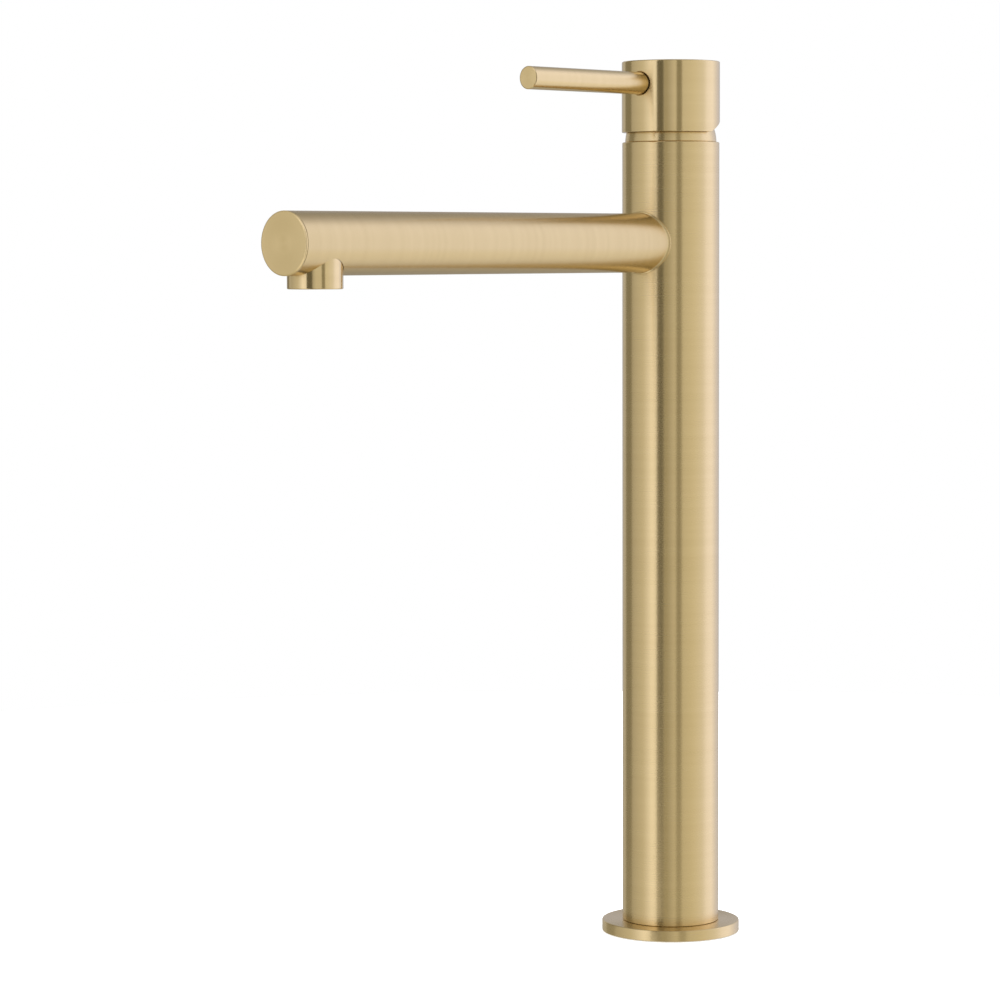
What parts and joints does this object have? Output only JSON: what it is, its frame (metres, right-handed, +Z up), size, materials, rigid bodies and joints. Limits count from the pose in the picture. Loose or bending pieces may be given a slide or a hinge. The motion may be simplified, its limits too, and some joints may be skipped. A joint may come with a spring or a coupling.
{
  "type": "bathroom mixer faucet",
  "caption": "Tall single-lever basin mixer for deck mounting, with a slim column, a fixed straight spout, a downward outlet and a pin lever on a tilting cap.",
  "frame": {"origin": "middle of the foot, on the deck", "axes": "+Z up along the column, -Y towards the user along the spout and the lever, +X to the user's right"},
  "size_m": [0.05, 0.221, 0.3157],
  "materials": {
    "brushed_gold": "brushed satin",
    "raw_brass": "machined",
    "copper_tube": "drawn",
    "stainless": "machined",
    "rubber_black": "matte",
    "housing_plastic": "moulded",
    "turret_plastic": "moulded",
    "aerator_plastic": "moulded",
    "ceramic": "lapped"
  },
  "bodies": {
    "body": {"base_flange": "brushed_gold", "deck_seal": "rubber_black", "foot_plug": "raw_brass", "column_tube": "brushed_gold", "supply_tube_hot": "copper_tube", "supply_tube_cold": "copper_tube", "supply_seal_hot_lower": "rubber_black", "supply_seal_hot_upper": "rubber_black", "supply_seal_cold_lower": "rubber_black", "supply_seal_cold_upper": "rubber_black", "valve_body": "raw_brass", "port_seal_hot": "rubber_black", "port_seal_cold": "rubber_black", "port_seal_mixed": "rubber_black", "cartridge_base": "housing_plastic", "disc_seal": "rubber_black", "fixed_disc": "ceramic", "cartridge_housing": "housing_plastic", "retaining_nut": "raw_brass", "dome_grip_ring": "rubber_black", "neck_dome": "brushed_gold", "spout_tube": "brushed_gold", "spout_end_plug": "brushed_gold", "spout_socket": "raw_brass", "spout_set_screw": "stainless", "spout_nipple": "raw_brass", "nipple_seal_1": "rubber_black", "nipple_seal_2": "rubber_black", "outlet_housing": "brushed_gold", "aerator_washer": "rubber_black", "aerator_insert": "aerator_plastic", "aerator_grid": "aerator_plastic", "flow_regulator": "aerator_plastic", "inlet_strainer": "stainless"},
    "swivel": {"turret": "turret_plastic", "pivot_pin": "stainless"},
    "handle": {"handle_cap": "brushed_gold", "lever_pin": "brushed_gold", "stem": "stainless", "stem_set_screw": "stainless"},
    "disc": {"disc_carrier": "turret_plastic", "moving_disc": "ceramic"}
  },
  "joints": [
    {"name": "handle_swivel", "type": "hinge", "parent": "body", "child": "swivel", "pos_m": [0, 0, 0.2865], "axis": [0, 0, 1], "range_deg": [-45, 45]},
    {"name": "handle_lift", "type": "hinge", "parent": "swivel", "child": "handle", "pos_m": [0, 0, 0.2865], "axis": [-1, 0, 0], "range_deg": [0, 25]},
    {"name": "disc_slide", "type": "slide", "parent": "swivel", "child": "disc", "axis": [0, -1, 0], "range_m": [0, 0.0042]}
  ],
  "couplings": [
    {"joint": "disc_slide", "follows": "handle_lift", "m_per_rad": 0.0095}
  ]
}
